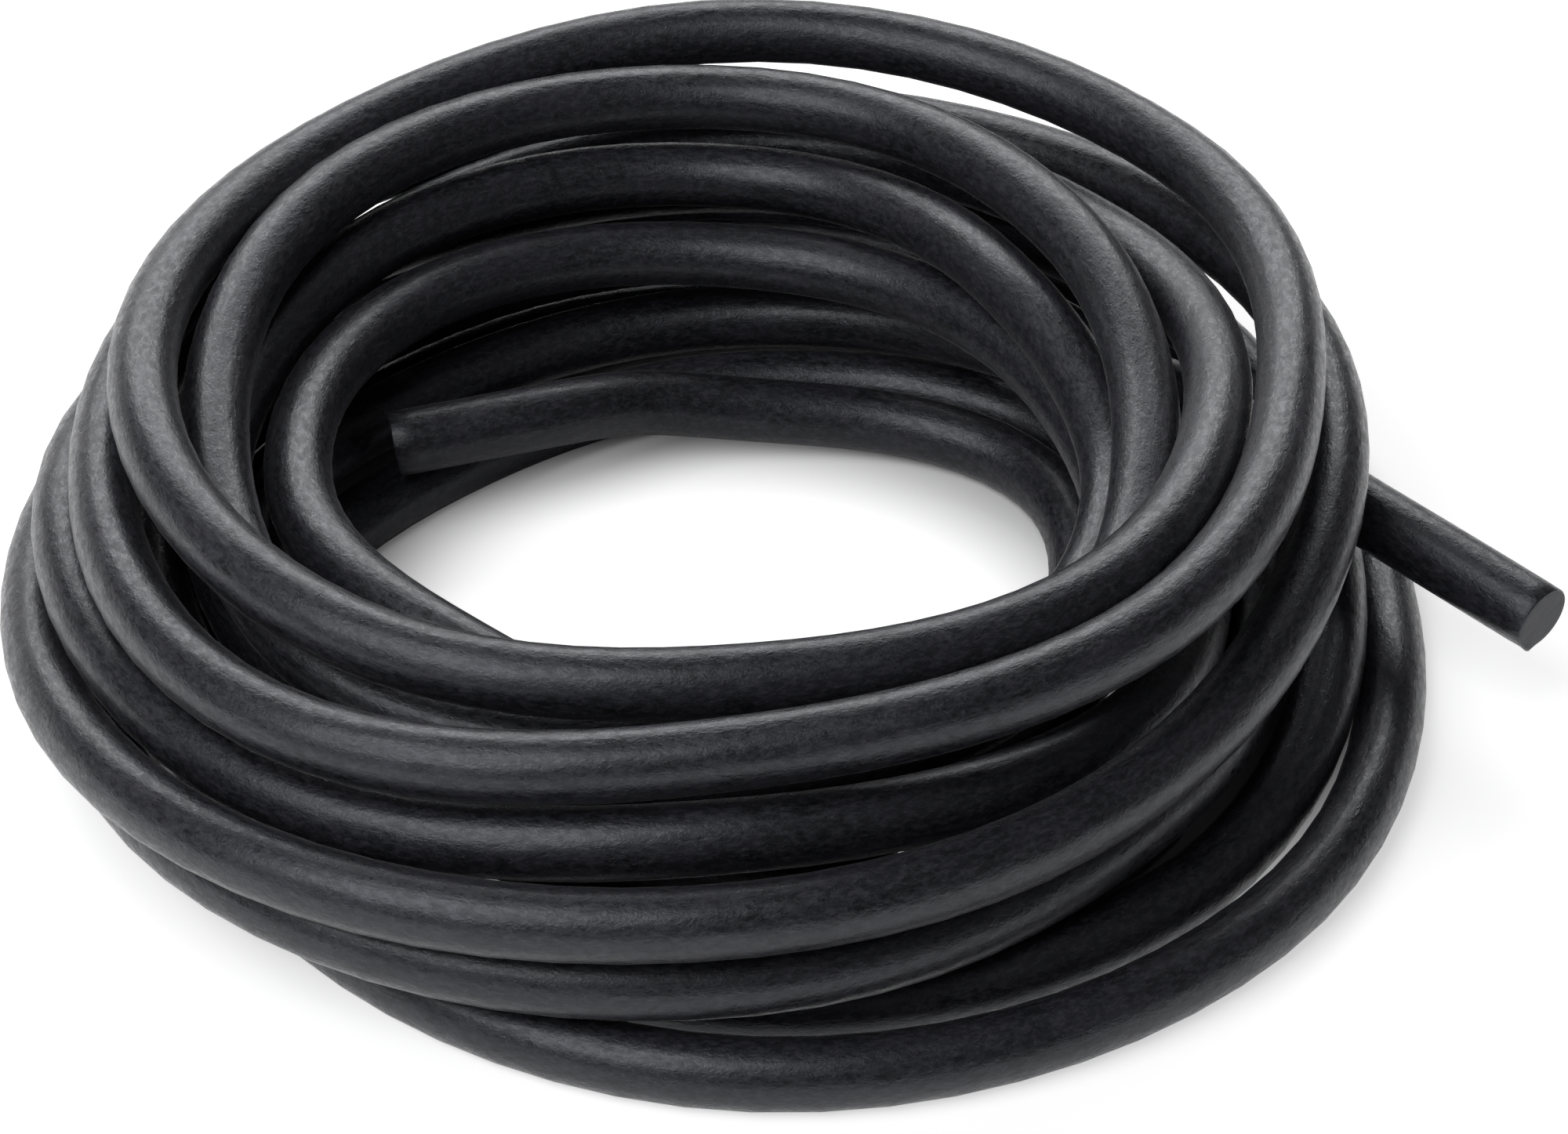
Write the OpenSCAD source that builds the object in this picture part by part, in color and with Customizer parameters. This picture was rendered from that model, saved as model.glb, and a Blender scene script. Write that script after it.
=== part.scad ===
// Coiled rubber cord: a single length of smooth solid round cord, laid by hand in a
// loose coil of about twelve turns, with both of its ends cut plain.
// Millimetres, +Z up. The coil rests on z = 0, with the origin under the middle of it.

/* [Cord] */
// Outside diameter of the cord
cord_d = 16; // [8:0.5:24]
// Clear gap kept between turns that pass each other
turn_gap = 0.5; // [0.5:0.1:3]

/* [Coil] */
// From the coil's axis to the middle of the cord in its tightest turn
eye_r = 75.9; // [55:0.1:140]

/* [Ends] */
// Straight run of the outer end, up to its cut
outer_run = 51; // [20:1:120]
// Straight run of the inner end, up to its cut
inner_run = 30; // [18:1:36]

/* [Hidden] */

// Turns lie one pitch apart. Reach and height in the lists below are counted in pitches.
pitch = cord_d + turn_gap;
// Reach of the tightest turn, which eye_r sets in millimetres
eye_reach = 4.6;
// Middle of a turn on the floor, in diameters: a tenth of the cord is cut flat below
floor_height = 0.4;

// Rings in a turn, and sides of a ring
turn_rings = 24;
ring_sides = 6;
end_sides = 12;
// A curved end stretch runs this deep into its round cut end, and this far inside its wall
end_lap = cord_d / 8;
end_inset = cord_d / 160;
// Rings in each curved stretch of an end
end_rings = 3;
rubber = [0.09, 0.09, 0.095];

// The turns from the outermost end inwards. Each row is one turn, counter-clockwise, as
// [reach, height] where it passes the right, back right, back, back left, left,
// front left, front and front right of the coil.
TURNS = [
    [[7.3, 2.1], [6.45, 1.78], [7.02, 1.1], [7.06, 0.98], [6.95, 1.63], [6.25, 0.55], [6.25, 0.76], [7.08, 0.42]],
    [[5.82, 0.45], [6.6, 0.4], [6.21, 0.4], [5.97, 0.4], [6.95, 0.4], [7.62, 0.4], [8.3, 0.4], [8.34, 0.4]],
    [[8.22, 1.08], [8.7, 1.9], [9.2, 2.15], [9.45, 2.1], [9.68, 2.6], [8.98, 2.5], [7.8, 2.9], [6.87, 2.24]],
    [[6.3, 1.4], [7.6, 1.25], [8.3, 1.46], [8.45, 1.38], [9.3, 0.85], [9.75, 1.3], [9.0, 1.45], [7.65, 1.38]],
    [[7.18, 0.86], [8.3, 0.4], [8.3, 0.4], [8.1, 0.4], [8.1, 0.4], [8.75, 0.4], [9.65, 0.4], [9.52, 0.4]],
    [[9.05, 0.4], [9.6, 0.6], [9.8, 1.0], [10.1, 1.2], [10.15, 1.5], [10.12, 2.3], [9.2, 2.55], [8.05, 2.55]],
    [[8.1, 3.4], [9.0, 3.28], [9.9, 3.0], [9.6, 3.33], [9.1, 3.47], [8.9, 3.56], [7.5, 3.95], [7.42, 4.3]],
    [[7.42, 4.5], [8.78, 4.5], [9.5, 4.7], [9.25, 4.32], [8.5, 4.45], [7.5, 4.2], [6.34, 4.2], [6.33, 4.22]],
    [[6.43, 4.18], [7.4, 3.6], [8.7, 3.2], [8.6, 2.75], [8.5, 1.95], [8.0, 2.1], [6.7, 2.7], [5.95, 3.1]],
    [[5.45, 3.8], [6.2, 4.45], [8.1, 4.3], [8.22, 4.4], [7.54, 3.75], [7.2, 3.0], [5.6, 2.85], [5.05, 2.5]],
    [[5.05, 2.85], [5.3, 3.65], [7.45, 3.3], [7.8, 3.42], [7.62, 2.62], [6.95, 1.95], [5.95, 1.85], [5.3, 1.5]],
    [[5.2, 1.8], [5.4, 2.6], [6.45, 2.5], [7.0, 2.72], [6.42, 2.8], [5.45, 2.75], [4.9, 1.5], [4.7, 0.55]],
    [[4.6, 0.4], [5.56, 0.4], [5.0, 0.7], [5.1, 1.45]]
];
// The coil starts at this angle in the first row and stops at this one in the last
coil_from = 45;
coil_to = 105 + 360 * (len(TURNS) - 1);

// Curved stretches of the ends, from the coil outwards, as [reach, angle, height], then
// the way the straight run leaves, as [angle, rise]
OUTER = [[6.7, 30, 2.25], [7.47, 14, 2.3], [8.73, 1.3, 2.15]];
outer_way = [-45.5, -3.7];
INNER = [[5.1, 135, 1.43]];
inner_way = [200, 1];

function reach_mm(r) = eye_r + (r - eye_reach) * pitch;
function height_mm(z) = floor_height * cord_d + (z - floor_height) * pitch;
function about_axis(r, angle, z) =
    [reach_mm(r) * cos(angle), reach_mm(r) * sin(angle), height_mm(z)];

// Smooth curve through b and c at t = 0..1, with a and d as the points before and after
function spline(a, b, c, d, t) =
    (2 * b + (c - a) * t + (2 * a - 5 * b + 4 * c - d) * t * t
        + (3 * b - a - 3 * c + d) * t * t * t) / 2;

// Where the cord's middle is at an angle counted on through all the turns
stops = [for (turn = TURNS) each turn];
function stop_at(i) = stops[max(0, min(len(stops) - 1, i))];
function winding(angle) =
    let (
        i = floor(angle / 45),
        p = spline(stop_at(i - 1), stop_at(i), stop_at(i + 1), stop_at(i + 2), angle / 45 - i)
    )
    about_axis(p[0], angle, max(p[1], floor_height));

ring_angle = 360 / turn_rings;
coil_path = [for (angle = [coil_from:ring_angle:coil_to]) winding(angle)];
coil_last = len(coil_path) - 1;

// The middle of the whole outline goes over the origin
outer_cut = straight_end(OUTER, outer_way, outer_run);
outline = concat(coil_path, [outer_cut]);
middle = [for (k = [0, 1]) (min([for (p = outline) p[k]]) + max([for (p = outline) p[k]])) / 2];

function unit(v) = v / norm(v);
function heading(way) = [cos(way[0]) * cos(way[1]), sin(way[0]) * cos(way[1]), sin(way[1])];
function end_point(stretch, i) = about_axis(stretch[i][0], stretch[i][1], stretch[i][2]);
function straight_end(stretch, way, run) = end_point(stretch, len(stretch) - 1) + heading(way) * run;

// Headings of the coil at its two ends, out of the coil, where the ends take over
outer_joint = unit(winding(coil_from) - winding(coil_from + 1));
inner_joint = unit(winding(coil_to) - winding(coil_to - 1));

// Curve from one point and heading to the next, at t = 0..1
function blend(p, p_way, q, q_way, t) =
    let (chord = norm(q - p))
    p * (1 + 2 * t) * pow(1 - t, 2) + p_way * chord * t * pow(1 - t, 2)
        + q * t * t * (3 - 2 * t) + q_way * chord * t * t * (t - 1);

// Knots of an end with the heading at each: the joint, the curved stretch's points
function knots(joint, joint_way, stretch, way) =
    let (p = concat([joint], [for (i = [0:len(stretch) - 1]) end_point(stretch, i)]))
    [for (i = [0:len(p) - 1])
        [p[i], i == 0 ? joint_way : i == len(p) - 1 ? heading(way) : unit(p[i + 1] - p[i - 1])]];

// Rings along an end, each as [middle, heading], to a lap inside the cut end
function end_line(k) = [
    for (i = [0:len(k) - 2], step = [0:end_rings - 1])
        let (t = step / end_rings, near = 0.01)
        [
            blend(k[i][0], k[i][1], k[i + 1][0], k[i + 1][1], t),
            t == 0 ? k[i][1] : unit(
                blend(k[i][0], k[i][1], k[i + 1][0], k[i + 1][1], t + near)
                    - blend(k[i][0], k[i][1], k[i + 1][0], k[i + 1][1], t - near))
        ],
    k[len(k) - 1],
    [k[len(k) - 1][0] + k[len(k) - 1][1] * end_lap, k[len(k) - 1][1]]
];
coil_line = [for (i = [0:coil_last])
    [
        coil_path[i],
        i == 0 ? -outer_joint : i == coil_last ? inner_joint
            : unit(coil_path[i + 1] - coil_path[i - 1])
    ]];

// One ring of a round cord, square to its heading, with a corner straight below
function ring(at, way, sides, radius) =
    let (side = unit(cross(way, [0, 0, 1])), up = cross(side, way))
    [for (k = [0:sides - 1])
        let (a = 360 * k / sides - 90)
        at + (side * cos(a) + up * sin(a)) * radius];

// A closed tube of triangles through a line of rings
module tube(line, sides, radius) {
    last = (len(line) - 1) * sides;
    corners = [for (r = line) each ring(r[0], r[1], sides, radius)];
    walls = [
        for (i = [0:len(line) - 2], k = [0:sides - 1])
            let (n = (k + 1) % sides, a = i * sides, b = a + sides)
            each [[a + k, b + n, b + k], [a + k, a + n, b + n]]
    ];
    caps = [for (k = [1:sides - 2]) each [[0, k + 1, k], [last, last + k, last + k + 1]]];
    polyhedron(points = corners, faces = concat(walls, caps));
}

// A plain cut end: true round cord along its straight run
module cut_end(stretch, way, run) {
    translate(end_point(stretch, len(stretch) - 1))
        rotate([0, 90 - way[1], way[0]])
            cylinder(h = run, d = cord_d, $fn = 48);
}

// Keeps what stands above the floor
module on_floor() {
    room = cord_d + max([for (p = outline) norm(p)]);
    intersection() {
        children();
        translate([-room, -room, 0])
            cube(2 * room);
    }
}

// Length of the whole cord
function sum(v) = v * [for (each_one = v) 1];
function run_of(path) = sum([for (i = [1:len(path) - 1]) norm(path[i] - path[i - 1])]);
outer_line = end_line(knots(coil_path[0], outer_joint, OUTER, outer_way));
inner_line = end_line(knots(coil_path[coil_last], inner_joint, INNER, inner_way));
cord_length = run_of([for (angle = [coil_from:ring_angle / 3:coil_to]) winding(angle)])
    + run_of([for (r = outer_line) r[0]]) + outer_run - end_lap
    + run_of([for (r = inner_line) r[0]]) + inner_run - end_lap;
echo(cord_length_mm = cord_length);

// Least clear gap from one turn to any other stretch of the coil
function to_segment(p, a, b) =
    let (t = max(0, min(1, (p - a) * (b - a) / ((b - a) * (b - a))))) norm(p - a - (b - a) * t);
own_rings = 4;
coil_gap = min([
    for (i = [0:coil_last - 1], half = [0, 1])
        let (p = (coil_path[i] * (2 - half) + coil_path[i + 1] * half) / 2)
        for (j = [i + own_rings:coil_last - 1]) to_segment(p, coil_path[j], coil_path[j + 1])
]) - cord_d;
echo(coil_gap_mm = coil_gap);

module coil() {
    color(rubber)
        translate([-middle[0], -middle[1], 0])
            on_floor()
                tube(coil_line, ring_sides, cord_d / 2);
}

module outer_end() {
    color(rubber)
        translate([-middle[0], -middle[1], 0]) {
            tube(outer_line, end_sides, cord_d / 2 - end_inset);
            cut_end(OUTER, outer_way, outer_run);
        }
}

module inner_end() {
    color(rubber)
        translate([-middle[0], -middle[1], 0]) {
            tube(inner_line, end_sides, cord_d / 2 - end_inset);
            cut_end(INNER, inner_way, inner_run);
        }
}

coil();
outer_end();
inner_end();
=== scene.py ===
"""Coiled rubber cord: the finished look of one length of black rubber cord.

The cord is one smooth tube from its outer cut end, through twelve hand-laid turns, to
its inner cut end. Everything is in metres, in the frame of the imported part.
"""
import math

import bpy
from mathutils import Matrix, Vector


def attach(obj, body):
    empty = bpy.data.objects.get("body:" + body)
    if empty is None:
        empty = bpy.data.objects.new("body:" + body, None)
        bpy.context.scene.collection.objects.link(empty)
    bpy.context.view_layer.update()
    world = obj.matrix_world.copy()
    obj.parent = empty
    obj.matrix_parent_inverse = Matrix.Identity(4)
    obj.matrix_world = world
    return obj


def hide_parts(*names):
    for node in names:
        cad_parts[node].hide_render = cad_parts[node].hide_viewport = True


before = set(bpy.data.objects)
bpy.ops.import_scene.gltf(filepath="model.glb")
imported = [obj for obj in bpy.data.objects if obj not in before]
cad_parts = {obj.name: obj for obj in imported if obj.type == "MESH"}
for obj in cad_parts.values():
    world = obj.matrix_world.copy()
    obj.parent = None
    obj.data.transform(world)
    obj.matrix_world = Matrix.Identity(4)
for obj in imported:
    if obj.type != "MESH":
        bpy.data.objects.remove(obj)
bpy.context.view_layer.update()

# ---------------------------------------------------------------- the cord's real sizes
CORD_D = 0.016
CORD_R = CORD_D / 2
TURN_GAP = 0.0005
PITCH = CORD_D + TURN_GAP
# From the coil's axis to the tightest turn, in metres and as the reach in the list below
EYE_R = 0.0759
EYE_REACH = 4.6
# Middle of a turn on the floor, in diameters: a tenth of the cord is flat below
FLOOR_HEIGHT = 0.4
# Straight runs of the two ends
OUTER_RUN = 0.051
INNER_RUN = 0.030

# The turns from the outermost end inwards. Each is one turn, counter-clockwise, as (reach,
# height) in pitches where it passes the right, back right, back and back left of the coil,
# then its left, front left, front and front right.
TURNS = (
    ((7.3, 2.1), (6.45, 1.78), (7.02, 1.1), (7.06, 0.98),
     (6.95, 1.63), (6.25, 0.55), (6.25, 0.8), (7.08, 0.42)),
    ((5.82, 0.45), (6.6, 0.4), (6.21, 0.4), (5.97, 0.4),
     (6.95, 0.4), (7.62, 0.4), (8.3, 0.4), (8.34, 0.4)),
    ((8.22, 1.08), (8.7, 1.9), (9.2, 2.15), (9.45, 2.1),
     (9.68, 2.6), (8.98, 2.45), (7.8, 2.84), (6.87, 2.17)),
    ((6.3, 1.4), (7.6, 1.25), (8.3, 1.46), (8.45, 1.34),
     (9.3, 0.8), (9.75, 1.36), (9.0, 1.45), (7.65, 1.38)),
    ((7.18, 0.86), (8.3, 0.4), (8.3, 0.4), (8.1, 0.4),
     (8.1, 0.4), (8.75, 0.4), (9.65, 0.4), (9.52, 0.4)),
    ((9.05, 0.4), (9.6, 0.6), (9.8, 1.0), (10.1, 1.2),
     (10.15, 1.5), (10.12, 2.3), (9.2, 2.6), (8.05, 2.58)),
    ((8.1, 3.4), (9.0, 3.28), (9.9, 3.0), (9.6, 3.33),
     (9.1, 3.47), (8.9, 3.56), (7.5, 3.95), (7.42, 4.3)),
    ((7.42, 4.5), (8.78, 4.5), (9.5, 4.7), (9.25, 4.32),
     (8.5, 4.45), (7.5, 4.2), (6.34, 4.2), (6.33, 4.22)),
    ((6.43, 4.18), (7.4, 3.6), (8.7, 3.2), (8.6, 2.75),
     (8.5, 1.95), (8.0, 2.1), (6.7, 2.7), (5.95, 3.1)),
    ((5.45, 3.8), (6.2, 4.45), (8.1, 4.3), (8.22, 4.4),
     (7.54, 3.75), (7.2, 3.0), (5.6, 2.85), (5.05, 2.5)),
    ((5.05, 2.85), (5.3, 3.65), (7.45, 3.3), (7.8, 3.42),
     (7.62, 2.62), (6.95, 1.95), (5.95, 1.85), (5.3, 1.5)),
    ((5.2, 1.8), (5.4, 2.6), (6.45, 2.5), (7.0, 2.72),
     (6.42, 2.8), (5.45, 2.75), (4.9, 1.5), (4.7, 0.55)),
    ((4.6, 0.4), (5.56, 0.4), (5.0, 0.7), (5.1, 1.45)),
)
# Degrees between those places, and where the coil starts and stops, counted on through all
# the turns
STOP_ANGLE = 45
COIL_FROM = 45
COIL_TO = 105 + 360 * (len(TURNS) - 1)

# Curved stretches of the ends, from the coil outwards, as (reach, angle, height), then
# the way the straight run leaves, as (angle, rise)
OUTER = ((6.7, 30, 2.25), (7.47, 14, 2.3), (8.73, 1.3, 2.15))
OUTER_WAY = (-45.5, -3.7)
INNER = ((5.1, 135, 1.43),)
INNER_WAY = (200, 1)

# The dressed cord has a ring at every so many degrees of a turn, and at every so many
# metres of an end. The CAD part's rings are further apart.
RING_ANGLE = 5
RING_STEP = 0.004
CAD_RING_ANGLE = 15


def about_axis(reach, angle, height):
    """A point at a reach and height in pitches, at an angle about the coil's axis."""
    out = EYE_R + (reach - EYE_REACH) * PITCH
    up = FLOOR_HEIGHT * CORD_D + (height - FLOOR_HEIGHT) * PITCH
    turn = math.radians(angle)
    return Vector((out * math.cos(turn), out * math.sin(turn), up))


STOPS = [stop for turn in TURNS for stop in turn]


def spline(a, b, c, d, t):
    """Smooth curve through b and c, with a and d as the values before and after."""
    return (2 * b + (c - a) * t + (2 * a - 5 * b + 4 * c - d) * t ** 2
            + (3 * b - a - 3 * c + d) * t ** 3) / 2


def winding(angle):
    """The cord's middle at an angle counted on through all the turns."""
    i = math.floor(angle / STOP_ANGLE)
    near = [STOPS[max(0, min(len(STOPS) - 1, i + k))] for k in (-1, 0, 1, 2)]
    t = angle / STOP_ANGLE - i
    reach = spline(*(stop[0] for stop in near), t)
    height = spline(*(stop[1] for stop in near), t)
    return about_axis(reach, angle, max(height, FLOOR_HEIGHT))


def coil_line(step):
    """Points of the wound turns, one at every step of so many degrees."""
    return [winding(angle) for angle in range(COIL_FROM, COIL_TO + 1, step)]


def heading(way):
    """Unit vector along an angle on the floor and a rise above it."""
    turn, rise = math.radians(way[0]), math.radians(way[1])
    return Vector((math.cos(turn) * math.cos(rise), math.sin(turn) * math.cos(rise), math.sin(rise)))


def blend(p, p_way, q, q_way, t):
    """Curve from point p along p_way to point q along q_way."""
    chord = (q - p).length
    return (p * (1 + 2 * t) * (1 - t) ** 2 + p_way * chord * t * (1 - t) ** 2
            + q * t * t * (3 - 2 * t) + q_way * chord * t * t * (t - 1))


def end_line(joint, joint_way, stretch, way, run):
    """Points of a free end, from the coil out to its cut."""
    knots = [joint] + [about_axis(*stop) for stop in stretch]
    ways = [joint_way]
    ways += [(knots[i + 1] - knots[i - 1]).normalized() for i in range(1, len(knots) - 1)]
    ways.append(heading(way))
    points = []
    for i in range(len(knots) - 1):
        count = max(2, round((knots[i + 1] - knots[i]).length / RING_STEP))
        points += [blend(knots[i], ways[i], knots[i + 1], ways[i + 1], k / count)
                   for k in range(count)]
    count = round(run / RING_STEP)
    points += [knots[-1] + heading(way) * run * k / count for k in range(count + 1)]
    return points


def outline_middle():
    """Where the middle of the outline lies from the coil's axis, as the CAD part has it."""
    points = coil_line(CAD_RING_ANGLE)
    points.append(about_axis(*OUTER[-1]) + heading(OUTER_WAY) * OUTER_RUN)
    return [(min(p[k] for p in points) + max(p[k] for p in points)) / 2 for k in (0, 1)]


MIDDLE = Vector((*outline_middle(), 0))


def cord_route():
    """The whole cord's middle, from the outer cut to the inner cut, in the part's frame."""
    turns = coil_line(RING_ANGLE)
    out_way = (winding(COIL_FROM) - winding(COIL_FROM + 1)).normalized()
    in_way = (winding(COIL_TO) - winding(COIL_TO - 1)).normalized()
    outer = end_line(turns[0], out_way, OUTER, OUTER_WAY, OUTER_RUN)
    inner = end_line(turns[-1], in_way, INNER, INNER_WAY, INNER_RUN)
    return [p - MIDDLE for p in outer[:0:-1] + turns + inner[1:]]


# ---------------------------------------------------------------- camera
VIEW_DOWN = math.radians(36)
VIEW_DISTANCE = 72.6 * PITCH
VIEW_TARGET = Vector((0.4 * PITCH, 1.9 * PITCH, 0)) - MIDDLE
# Focal length and width of the picture, in pixels
VIEW_FOCAL = 6300
VIEW_WIDTH = 2000
SENSOR_MM = 36


def make_camera():
    """A long lens from the front, looking down on the coil."""
    data = bpy.data.cameras.new("camera")
    data.sensor_width = SENSOR_MM
    data.lens = SENSOR_MM * VIEW_FOCAL / VIEW_WIDTH
    camera = bpy.data.objects.new("camera", data)
    back = Vector((0, -math.cos(VIEW_DOWN), math.sin(VIEW_DOWN)))
    camera.location = VIEW_TARGET + back * VIEW_DISTANCE
    camera.rotation_euler = (math.pi / 2 - VIEW_DOWN, 0, 0)
    bpy.context.collection.objects.link(camera)
    bpy.context.scene.camera = camera


# ---------------------------------------------------------------- the cord
SIDES = 40
# Slow unevenness of the extruded cord's radius: waves as (metres, radians per metre, phase)
SWELLS = ((0.00006, 61, 0.0), (0.00005, 23, 1.3))
# Each cut leans forward to one side of the cord and leaves a burr at one spot of its rim:
# the lean in metres, the side it leans to, the burr's side, how far it stands forward and
# out in metres, and its half width. Sides are in degrees up from the cord's right.
OUTER_CUT = (0.0005, 60, -110, 0.0003, 0.0009, 11)
INNER_CUT = (0.0024, 142, 65, 0.0016, 0.0003, 18)
# Radius of a cut's rim, and where its rings lie: shares of the way round the rim, then of the
# cord's radius across the face
RIM_ROUND = 0.0006
RIM_SHARES = (0.25, 0.55, 0.8, 1.0)
FACE_SHARES = (0.8, 0.55, 0.3, 0.1)
# Powers by which a burr fades towards the middle, and a rim turns from skin to bare rubber
BURR_FADE = 8
RIM_FADE = 4


def swell(along):
    """How much thicker the cord is at a length along it."""
    return sum(size * math.sin(along * rate + phase) for size, rate, phase in SWELLS)


def cut_edge(cut, a, share):
    """How far a cut stands forward and out at an angle, at a share of the way to its rim."""
    lean, lean_to, burr_at, burr_forward, burr_out, burr_half = cut
    off = (math.degrees(a) - burr_at + 180) % 360 - 180
    burr = math.exp(-(off / burr_half) ** 2) * share ** BURR_FADE
    return lean * share * math.cos(a - math.radians(lean_to)) + burr_forward * burr, burr_out * burr


def ring(middle, way, radius, along, cut=None, out=1):
    """One ring as pairs: a point, and where it lies on the cord laid out straight."""
    side = way.cross(Vector((0, 0, 1))).normalized()
    up = side.cross(way)
    pairs = []
    for k in range(SIDES):
        a = 2 * math.pi * k / SIDES
        forward, proud = cut_edge(cut, a, radius / CORD_R) if cut else (0.0, 0.0)
        round_way = side * math.cos(a) + up * math.sin(a)
        point = middle + round_way * (radius + proud) + way * forward * out
        point.z = max(point.z, 0.0)
        pairs.append((point, (along + forward * out, radius * math.cos(a), radius * math.sin(a))))
    return pairs


def cut_rings(middle, way, along, cut, out):
    """Rings of a cut that faces on along the cord, with out as 1, or back along it, with out
    as -1. Each comes with how bare its rubber is."""
    profile = []
    for share in RIM_SHARES:
        a = math.pi / 2 * share
        inward, back = RIM_ROUND * (1 - math.cos(a)), RIM_ROUND * (math.sin(a) - 1)
        profile.append((CORD_R - inward, back, share ** RIM_FADE))
    profile += [(CORD_R * share, 0.0, 1.0) for share in FACE_SHARES]
    return [(ring(middle + way * back * out, way, radius, along + back * out, cut, out), bare)
            for radius, back, bare in profile[::out]]


def cord_rings(route):
    """All rings from the outer cut to the inner one, and the cord's length."""
    along = [0.0]
    for a, b in zip(route, route[1:]):
        along.append(along[-1] + (b - a).length)
    last = len(route) - 1
    ways = [(route[min(i + 1, last)] - route[max(i - 1, 0)]).normalized() for i in range(last + 1)]
    rings = cut_rings(route[0], ways[0], along[0], OUTER_CUT, -1)
    rings += [(ring(route[i], ways[i], CORD_R + swell(along[i]), along[i]), 0.0)
              for i in range(1, last)]
    rings += cut_rings(route[last], ways[last], along[last], INNER_CUT, 1)
    return rings, along[last]


def tube_faces(count):
    """Faces between the rings of a tube, and one that closes it at each end."""
    faces = []
    for a in range(0, (count - 1) * SIDES, SIDES):
        b = a + SIDES
        for k in range(SIDES):
            n = (k + 1) % SIDES
            faces.append((a + k, a + n, b + n, b + k))
    faces.append(tuple(reversed(range(SIDES))))
    faces.append(tuple(range((count - 1) * SIDES, count * SIDES)))
    return faces


def make_cord(route):
    """The cord as one closed tube along its route, flat where it lies on the floor."""
    rings, length = cord_rings(route)
    pairs = [pair for ring_pairs, bare in rings for pair in ring_pairs]
    mesh = bpy.data.meshes.new("cord")
    mesh.from_pydata([point for point, straight in pairs], [], tube_faces(len(rings)))
    mesh.update()
    straight_layer = mesh.attributes.new("straight", "FLOAT_VECTOR", "POINT")
    straight_layer.data.foreach_set("vector", [x for point, straight in pairs for x in straight])
    fresh_layer = mesh.attributes.new("fresh", "FLOAT", "POINT")
    fresh_layer.data.foreach_set("value", [bare for ring_pairs, bare in rings for pair in ring_pairs])
    mesh.shade_smooth()
    cord = bpy.data.objects.new("cord", mesh)
    bpy.context.collection.objects.link(cord)
    return cord, length


# ---------------------------------------------------------------- finishes
class Finish:
    """A material, with short ways to add nodes to it and to join them."""

    def __init__(self, name):
        self.material = bpy.data.materials.new(name)
        self.material.use_nodes = True
        self.tree = self.material.node_tree
        self.surface = self.tree.nodes["Principled BSDF"].inputs

    def add(self, kind, **settings):
        """A new node of a kind, with its settings."""
        node = self.tree.nodes.new("ShaderNode" + kind)
        for name, value in settings.items():
            setattr(node, name, value)
        return node

    def feed(self, socket, value):
        """Join an output to a socket, or set the socket to a plain value."""
        if isinstance(value, bpy.types.NodeSocket):
            self.tree.links.new(value, socket)
        else:
            socket.default_value = value

    def arithmetic(self, operation, one, two):
        """Result of an operation on two values."""
        node = self.add("Math", operation=operation)
        self.feed(node.inputs[0], one)
        self.feed(node.inputs[1], two)
        return node.outputs["Value"]

    def noise(self, place, stretch, scale, detail, rough, distort):
        """Noise on a place, drawn out along the cord by the inverse of the stretch."""
        mapping = self.add("Mapping")
        self.feed(mapping.inputs["Scale"], (stretch, 1, 1))
        self.feed(mapping.inputs["Vector"], place)
        texture = self.add("TexNoise")
        for name, value in (("Vector", mapping.outputs["Vector"]), ("Scale", scale), ("Detail", detail),
                            ("Roughness", rough), ("Distortion", distort)):
            self.feed(texture.inputs[name], value)
        return texture.outputs["Fac"]

    def pattern(self, place, noise, low, high):
        """Colour that goes from low to high as a noise does, each given as (value, colour)."""
        ramp = self.add("ValToRGB")
        for element, (value, colour) in zip(ramp.color_ramp.elements, (low, high)):
            element.position = value
            element.color = (*colour, 1)
        self.feed(ramp.inputs["Fac"], self.noise(place, *noise))
        return ramp.outputs["Color"]

    def cover(self, colour, share, coat):
        """A colour covered by a coat of another, by a share."""
        node = self.add("Mix", data_type="RGBA")
        sockets = {socket.identifier: socket for socket in node.inputs}
        self.feed(sockets["Factor_Float"], share)
        self.feed(sockets["A_Color"], colour)
        self.feed(sockets["B_Color"], (*coat, 1))
        return next(socket for socket in node.outputs if socket.identifier == "Result_Color")


BLACK, WHITE = (0, 0, 0), (1, 1, 1)
# Rubber in its deep parts and under the bloom
DEEP_SKIN = (0.004, 0.0045, 0.0055)
BLOOMED_SKIN = (0.0205, 0.0205, 0.0265)
# Patterns, each as a noise and the colours at two values of it. A noise is a stretch, a
# scale, detail, roughness and distortion.
BLOOM = ((0.3, 120, 6, 0.7, 0.5), (0.32, DEEP_SKIN), (0.70, BLOOMED_SKIN))
MOTTLING = ((0.5, 800, 5, 0.75, 0.3), (0.45, BLACK), (0.62, WHITE))
SCUFFS = ((0.3, 900, 4, 0.7, 0.5), (0.56, BLACK), (0.70, WHITE))
WORN_PATCHES = ((0.5, 60, 2, 0.55, 0.0), (0.45, BLACK), (0.62, WHITE))
DUST = ((0.8, 2400, 1, 0.5, 0.0), (0.74, BLACK), (0.80, WHITE))
# Coats over the bloom, each as the most that it covers and its colour
MOTTLE_COAT = (0.6, (0.046, 0.046, 0.058))
SCUFF_COAT = (0.4, (0.078, 0.078, 0.086))
DUST_COAT = (0.4, (0.20, 0.20, 0.20))
# Roughness of the skin, from polished to dull
POLISH = ((0.5, 620, 6, 0.78, 0.5), (0.40, (0.24,) * 3), (0.60, (0.48,) * 3))
# A cut is bare rubber, darker and duller than the skin
CUT_RUBBER = (0.017, 0.017, 0.019)
CUT_ROUGHNESS = (0.6,) * 3
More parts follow.
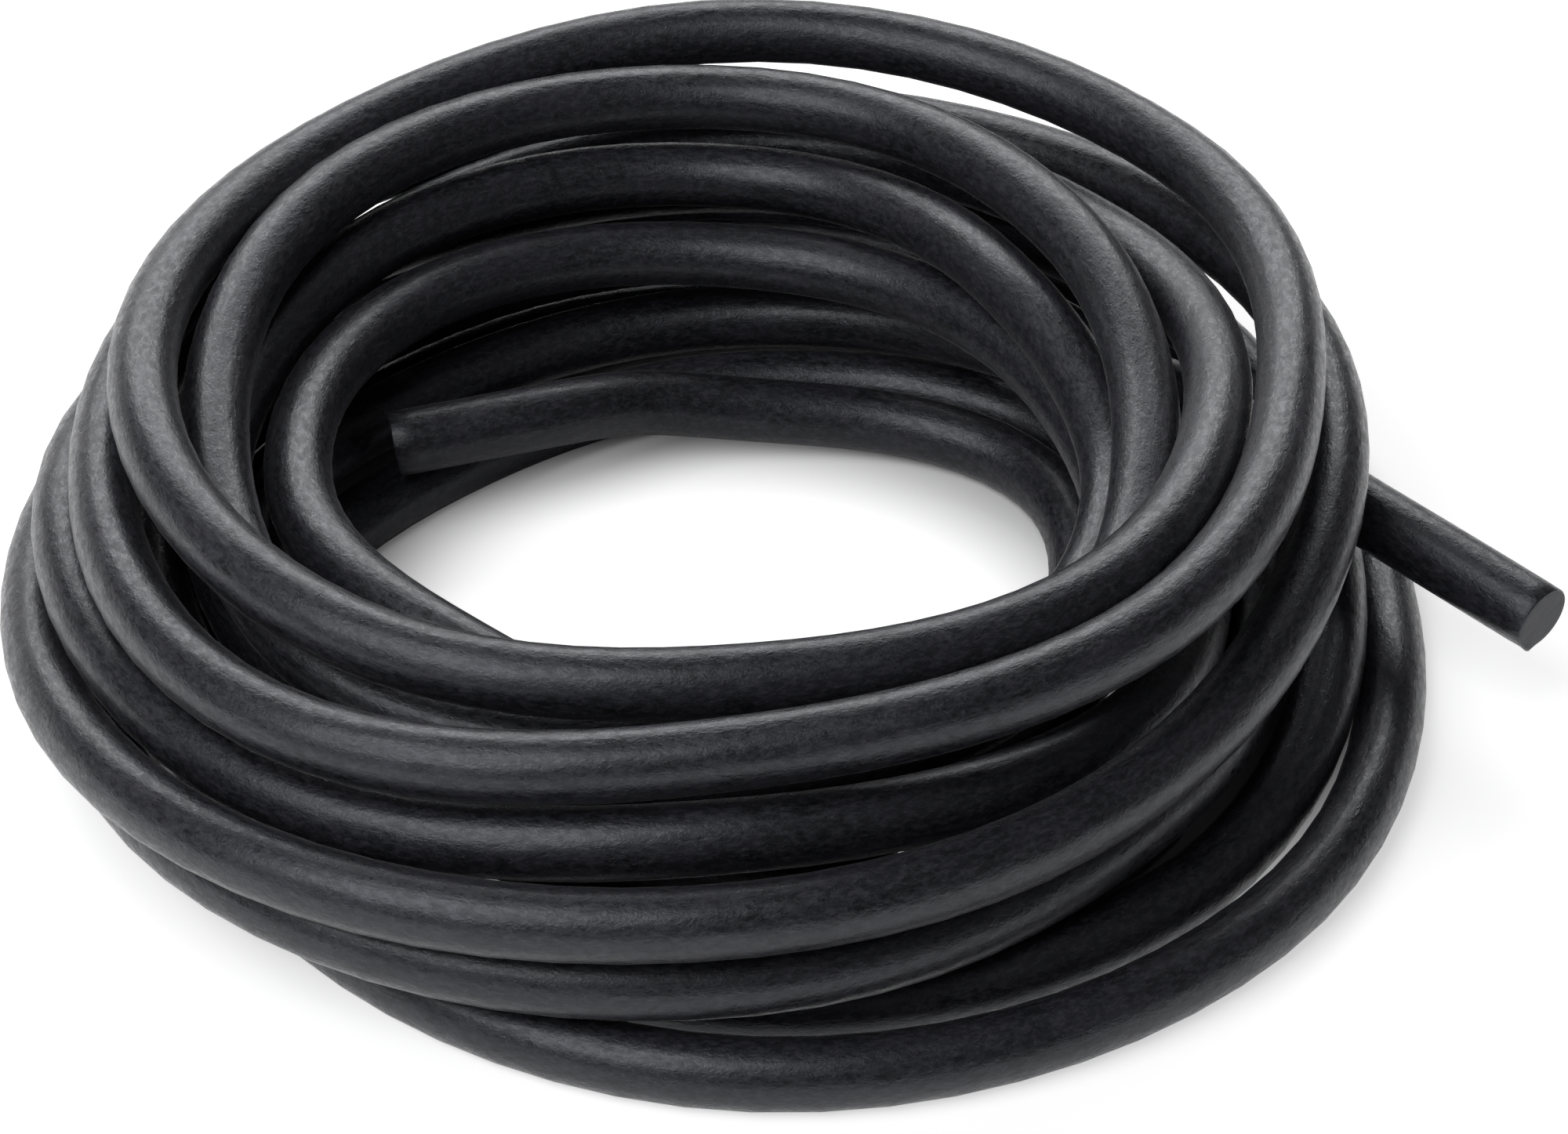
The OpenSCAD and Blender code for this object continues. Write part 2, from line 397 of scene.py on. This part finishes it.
# Depth of the relief in metres, and its layers, each as a share of the depth and a noise:
# soft dents, a leathery skin, a fine grain, and faint lines from the die
RELIEF_DEPTH = 0.00045
RELIEF = (
    (0.8, (0.3, 150, 1, 0.55, 0.0)),
    (0.45, (0.5, 650, 5, 0.6, 0.3)),
    (0.2, (0.7, 1800, 3, 0.6, 0.2)),
    (0.08, (0.02, 900, 2, 0.6, 0.0)),
)


def coated(finish, colour, where, coat):
    """A colour under a coat that is there where a pattern is white."""
    most, coat_colour = coat
    return finish.cover(colour, finish.arithmetic("MULTIPLY", where, most), coat_colour)


def skin_colour(finish, place):
    """Cloudy bloom under a ragged mottling, scuffs in worn patches, and specks of dust."""
    colour = finish.pattern(place, *BLOOM)
    colour = coated(finish, colour, finish.pattern(place, *MOTTLING), MOTTLE_COAT)
    scuffs = finish.pattern(place, *SCUFFS)
    worn = finish.arithmetic("MULTIPLY", scuffs, finish.pattern(place, *WORN_PATCHES))
    colour = coated(finish, colour, worn, SCUFF_COAT)
    return coated(finish, colour, finish.pattern(place, *DUST), DUST_COAT)


def skin_relief(finish, place):
    """The way that the skin faces among its dents, grain and lines."""
    layers = [finish.arithmetic("MULTIPLY", finish.noise(place, *noise), share)
              for share, noise in RELIEF]
    relief = layers[0]
    for layer in layers[1:]:
        relief = finish.arithmetic("ADD", relief, layer)
    bump = finish.add("Bump")
    finish.feed(bump.inputs["Strength"], 1.0)
    finish.feed(bump.inputs["Distance"], RELIEF_DEPTH)
    finish.feed(bump.inputs["Height"], relief)
    return bump.outputs["Normal"]


def rubber():
    """Matte black rubber with a grey bloom, scuffs drawn out along the cord, and dust."""
    finish = Finish("rubber")
    place = finish.add("Attribute", attribute_name="straight").outputs["Vector"]
    fresh = finish.add("Attribute", attribute_name="fresh").outputs["Fac"]
    surface = finish.surface
    finish.feed(surface["Base Color"], finish.cover(skin_colour(finish, place), fresh, CUT_RUBBER))
    dullness = finish.cover(finish.pattern(place, *POLISH), fresh, CUT_ROUGHNESS)
    finish.feed(surface["Roughness"], dullness)
    finish.feed(surface["Normal"], skin_relief(finish, place))
    surface["Specular IOR Level"].default_value = 0.5
    surface["Specular Tint"].default_value = (0.90, 0.925, 1.0, 1)
    # The bloom's fine powder and the skin's polish show pale along the cord's edges
    surface["Sheen Weight"].default_value = 0.12
    surface["Sheen Roughness"].default_value = 0.2
    surface["Coat Weight"].default_value = 0.12
    surface["Coat Roughness"].default_value = 0.2
    return finish.material


# ---------------------------------------------------------------- floor and light
# Width of the floor, and how far it lies under the cord's flats
FLOOR_WIDTH = 40
FLOOR_DROP = 0.0002
FLOOR_WHITE = (0.8, 0.8, 0.8, 1)
# Painted light: the floor glows to the camera in the coil's eye and out in the room, which
# lifts the coil's shadow there, but not under the cord: a spot on it, and the metres from
# there and the strengths between which it changes
EYE_PAINTED_LIGHT = ((-0.015, -0.012, 0), (0.065, 0.105), (0.7, 0.0))
ROOM_PAINTED_LIGHT = ((-0.01, 0.02, 0), (0.148, 0.17), (0.0, 0.58))
FAR_PAINTED_LIGHT = ((0, 0, 0), (0.2, 0.8), (0.0, 0.42))


def painted_light(finish, spot, reach, strength):
    """Strength of painted light that changes with the distance from a spot on the floor."""
    away = finish.add("VectorMath", operation="DISTANCE")
    finish.feed(away.inputs[0], finish.add("TexCoord").outputs["Object"])
    finish.feed(away.inputs[1], spot)
    change = finish.add("MapRange", interpolation_type="SMOOTHSTEP")
    finish.feed(change.inputs["Value"], away.outputs["Value"])
    for name, value in zip(("From Min", "From Max", "To Min", "To Max"), (*reach, *strength)):
        finish.feed(change.inputs[name], value)
    return change.outputs["Result"]


def white_floor():
    """White to the camera and in what the cord mirrors, plain to the light that falls on it, with
    painted light that lifts the coil's shadow in the eye and out in the room.
    """
    finish = Finish("white_floor")
    finish.surface["Base Color"].default_value = FLOOR_WHITE
    finish.surface["Roughness"].default_value = 0.9
    finish.surface["Specular IOR Level"].default_value = 0.1
    rays = finish.add("LightPath").outputs
    seen = rays["Is Camera Ray"]
    mirrored = finish.arithmetic("MAXIMUM", rays["Is Glossy Ray"], rays["Is Transmission Ray"])
    # Painted light: the camera sees both lifts, and the cord mirrors the room's alone
    room = finish.arithmetic("ADD", painted_light(finish, *ROOM_PAINTED_LIGHT), painted_light(finish, *FAR_PAINTED_LIGHT))
    room = finish.arithmetic("MULTIPLY", room, finish.arithmetic("MAXIMUM", seen, mirrored))
    # Painted light in the coil's eye, which lifts the shadow there, for the camera alone
    eye = finish.arithmetic("MULTIPLY", painted_light(finish, *EYE_PAINTED_LIGHT), seen)
    finish.surface["Emission Color"].default_value = (1, 1, 1, 1)
    finish.feed(finish.surface["Emission Strength"], finish.arithmetic("ADD", room, eye))
    return finish.material


def make_floor():
    """A plain white floor that keeps the coil's shadow, with painted light that lifts the shadow in the
    coil's eye and out in the room.
    """
    bpy.ops.object.select_all(action="DESELECT")
    bpy.ops.mesh.primitive_plane_add(size=FLOOR_WIDTH, location=(0, 0, -FLOOR_DROP))
    floor = bpy.context.object
    floor.name = "floor"
    floor.data.materials.append(white_floor())


def softbox(name, place, wide, high, power):
    """A soft light at a place, turned towards the coil."""
    data = bpy.data.lights.new(name, "AREA")
    data.shape = "RECTANGLE"
    data.size, data.size_y = wide, high
    data.energy = power
    lamp = bpy.data.objects.new(name, data)
    lamp.location = place
    lamp.rotation_euler = (-Vector(place)).to_track_quat("-Z", "Y").to_euler()
    bpy.context.collection.objects.link(lamp)


def make_light():
    """Wide soft lights at the front left and behind, a low one at the back left that the
    cord's sides catch, and a dim room."""
    world = bpy.data.worlds.new("dim_room")
    bpy.context.scene.world = world
    world.use_nodes = True
    back = world.node_tree.nodes["Background"]
    back.inputs["Color"].default_value = (1, 1, 1, 1)
    back.inputs["Strength"].default_value = 0.08
    softbox("front_left", (-0.72, -0.68, 1.2), 1.3, 1.3, 16)
    softbox("behind", (-0.15, 1.45, 1.05), 1.9, 0.9, 21)
    softbox("low_left", (-1.1, 1.1, 0.25), 1.4, 0.4, 1)


# ---------------------------------------------------------------- the scene
make_camera()

route = cord_route()
cord, cord_length = make_cord(route)
cord.data.materials.append(rubber())
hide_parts("coil", "outer_end", "inner_end")
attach(cord, "root")

make_floor()
make_light()
bpy.context.scene.view_settings.view_transform = "Standard"
